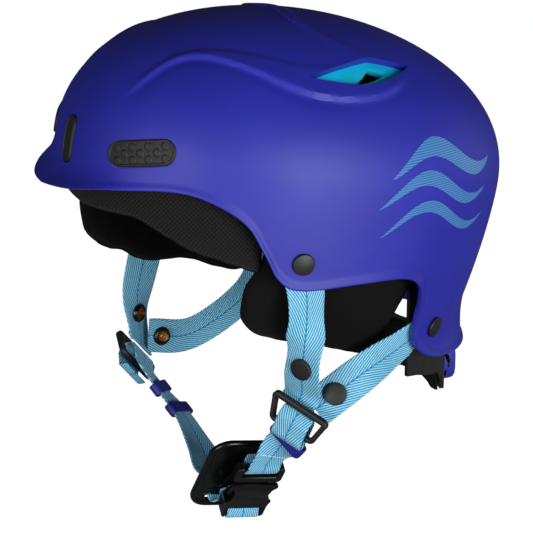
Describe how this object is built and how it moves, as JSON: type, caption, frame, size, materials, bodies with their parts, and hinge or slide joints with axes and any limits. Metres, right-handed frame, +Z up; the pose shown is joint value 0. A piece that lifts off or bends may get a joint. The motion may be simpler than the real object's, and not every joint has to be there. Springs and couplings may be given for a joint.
{
  "type": "water helmet",
  "caption": "Hard-shell water sports helmet with a short brim, vents, foam liner, ear pads, dial-adjusted nape cradle and a four-point webbing chin harness with a side-release buckle.",
  "frame": {"origin": "centre of the crown pad's flat face, which rests on the top of the wearer's head", "axes": "+X towards the wearer's left, -Y towards the front, +Z up out of the crown"},
  "size_m": [0.2198, 0.284, 0.3021],
  "materials": {
    "shell_plastic": "satin injection-moulded plastic, violet-blue",
    "liner_foam": "closed-cell foam, black",
    "pad_fabric": "black knitted mesh over foam",
    "black_rubber": "matte black rubber",
    "cyan_plastic": "cyan moulded plastic",
    "washer_steel": "stainless steel",
    "webbing": "light blue herringbone polyester webbing",
    "snap_brass": "aged brass",
    "black_plastic": "black acetal",
    "blue_rubber": "dark blue rubber",
    "blue_plastic": "dark blue moulded plastic",
    "grey_plastic": "pale grey moulded plastic"
  },
  "bodies": {
    "shell": {"outer_shell": "shell_plastic", "foam_liner": "liner_foam", "crown_pad": "pad_fabric", "brow_pad": "pad_fabric", "temple_band": "pad_fabric", "ear_pad_left": "pad_fabric", "ear_pad_right": "pad_fabric", "front_plug": "black_rubber", "rear_plug": "black_rubber", "vent_insert_left": "cyan_plastic", "vent_insert_right": "cyan_plastic", "temple_plug_left": "black_rubber", "temple_plug_right": "black_rubber", "rivet_front_left": "black_plastic", "rivet_front_right": "black_plastic", "rivet_rear_left": "black_plastic", "rivet_rear_right": "black_plastic", "washer_front_left": "washer_steel", "washer_front_right": "washer_steel", "washer_rear_left": "washer_steel", "washer_rear_right": "washer_steel", "cradle_stud_left": "black_plastic", "cradle_stud_right": "black_plastic"},
    "harness_left": {"front_strap_left": "webbing", "rear_strap_left": "webbing", "divider_left": "black_plastic", "snap_cap_front_left": "black_plastic", "snap_cap_rear_left": "black_plastic", "snap_socket_front_left": "snap_brass", "snap_socket_rear_left": "snap_brass"},
    "harness_right": {"front_strap_right": "webbing", "rear_strap_right": "webbing", "divider_right": "black_plastic", "snap_cap_front_right": "black_plastic", "snap_cap_rear_right": "black_plastic", "snap_socket_front_right": "snap_brass", "snap_socket_rear_right": "snap_brass"},
    "chin": {"chin_web_left": "webbing", "chin_web_right": "webbing", "buckle_male": "black_plastic", "keeper_left": "blue_rubber", "keeper_right_upper": "blue_rubber", "keeper_right_lower": "blue_rubber"},
    "buckle_lower": {"buckle_female": "black_plastic", "buckle_web_loop": "webbing", "guard_plate": "black_plastic"},
    "prong_rear": {"buckle_prong_rear": "black_plastic"},
    "prong_front": {"buckle_prong_front": "black_plastic"},
    "cradle": {"nape_cradle": "black_plastic", "nape_pad": "pad_fabric", "dial_housing": "blue_plastic"},
    "dial": {"dial_pinion": "grey_plastic", "dial_knob": "grey_plastic"},
    "band_left": {"rack_band_left": "black_plastic"},
    "band_right": {"rack_band_right": "black_plastic"}
  },
  "joints": [
    {"name": "harness_left_sway", "type": "hinge", "parent": "shell", "child": "harness_left", "pos_m": [0.09152, -0.00351, -0.11444], "axis": [-0.1593, 0.8461, -0.5086], "range_deg": [-4, 4], "stiffness_Nm_per_rad": 3},
    {"name": "harness_right_sway", "type": "hinge", "parent": "shell", "child": "harness_right", "pos_m": [-0.09152, -0.00351, -0.11444], "axis": [0.1593, 0.8461, -0.5086], "range_deg": [-3.3, 3.3]},
    {"name": "chin_level", "type": "hinge", "parent": "harness_left", "child": "chin", "pos_m": [0.08332, -0.04555, -0.19234], "axis": [0, 0.931, -0.365], "range_deg": [-4.6, 4.6]},
    {"name": "buckle_release", "type": "slide", "parent": "chin", "child": "buckle_lower", "axis": [-0.5586, -0.041, -0.8284], "range_m": [0, 0.03], "stiffness_N_per_m": 200},
    {"name": "prong_rear_squeeze", "type": "hinge", "parent": "chin", "child": "prong_rear", "pos_m": [0.04561, -0.04188, -0.23782], "axis": [-0.8204, 0.1742, 0.5446], "range_deg": [0, 6], "stiffness_Nm_per_rad": 0.05},
    {"name": "prong_front_squeeze", "type": "hinge", "parent": "chin", "child": "prong_front", "pos_m": [0.04378, -0.05663, -0.23586], "axis": [0.8204, -0.1742, -0.5446], "range_deg": [0, 6]},
    {"name": "nape_cradle_tilt", "type": "hinge", "parent": "shell", "child": "cradle", "pos_m": [0, 0.0481, -0.09], "axis": [1, 0, 0], "range_deg": [-6, 2.5], "stiffness_Nm_per_rad": 3},
    {"name": "dial_turn", "type": "hinge", "parent": "cradle", "child": "dial", "pos_m": [0, 0.095, -0.196], "axis": [0, -1, 0], "range_deg": [0, 110], "stiffness_Nm_per_rad": 0.01},
    {"name": "band_left_wind", "type": "hinge", "parent": "cradle", "child": "band_left", "pos_m": [0, 0.02, -0.1884], "axis": [0, 0, 1], "range_deg": [0, 8.5]},
    {"name": "band_right_wind", "type": "hinge", "parent": "cradle", "child": "band_right", "pos_m": [0, 0.02, -0.2036], "axis": [0, 0, 1], "range_deg": [-8.5, 0]}
  ],
  "couplings": [
    {"joint": "harness_right_sway", "follows": "harness_left_sway", "ratio": 0.813},
    {"joint": "chin_level", "follows": "harness_left_sway", "ratio": -1.135},
    {"joint": "prong_front_squeeze", "follows": "prong_rear_squeeze", "ratio": 1},
    {"joint": "band_left_wind", "follows": "dial_turn", "ratio": 0.075},
    {"joint": "band_right_wind", "follows": "dial_turn", "ratio": -0.075}
  ]
}
